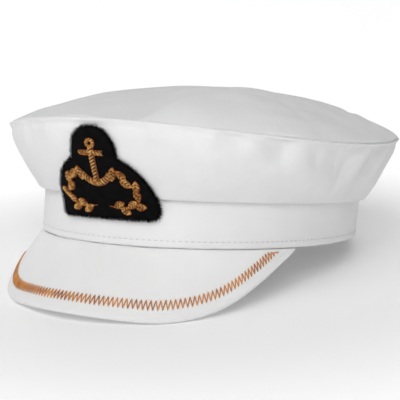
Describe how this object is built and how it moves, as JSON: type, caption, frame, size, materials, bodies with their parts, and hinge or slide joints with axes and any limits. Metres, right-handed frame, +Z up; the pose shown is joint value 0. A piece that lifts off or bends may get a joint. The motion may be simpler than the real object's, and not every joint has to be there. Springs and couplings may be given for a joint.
{
  "type": "captain hat",
  "caption": "White cloth captain's cap with a domed crown that rolls over a stiff band, a sloping peak and a black felt badge with a gold anchor.",
  "frame": {"origin": "middle of the footprint, on the surface that the cap rests on", "axes": "+Z up, -Y towards the peak at the front, +X towards the wearer's left; the cap rests on its peak and the back of its band, pitched up at the front by about 9 degrees"},
  "size_m": [0.2128, 0.254, 0.1006],
  "materials": {
    "crown_cloth": "white cotton twill, matte",
    "band_cloth": "white cotton twill over a stiffener, matte",
    "peak_cloth": "smooth white cloth over a stiff board, copper zigzag stitching",
    "felt": "black wool felt",
    "gold_wire": "aged gold bullion wire embroidery"
  },
  "bodies": {
    "root": {"crown_top": "crown_cloth", "crown_side": "crown_cloth", "band": "band_cloth", "peak": "peak_cloth", "badge_felt": "felt", "badge_anchor": "gold_wire", "badge_leaves_left": "gold_wire", "badge_leaves_right": "gold_wire"}
  },
  "joints": []
}
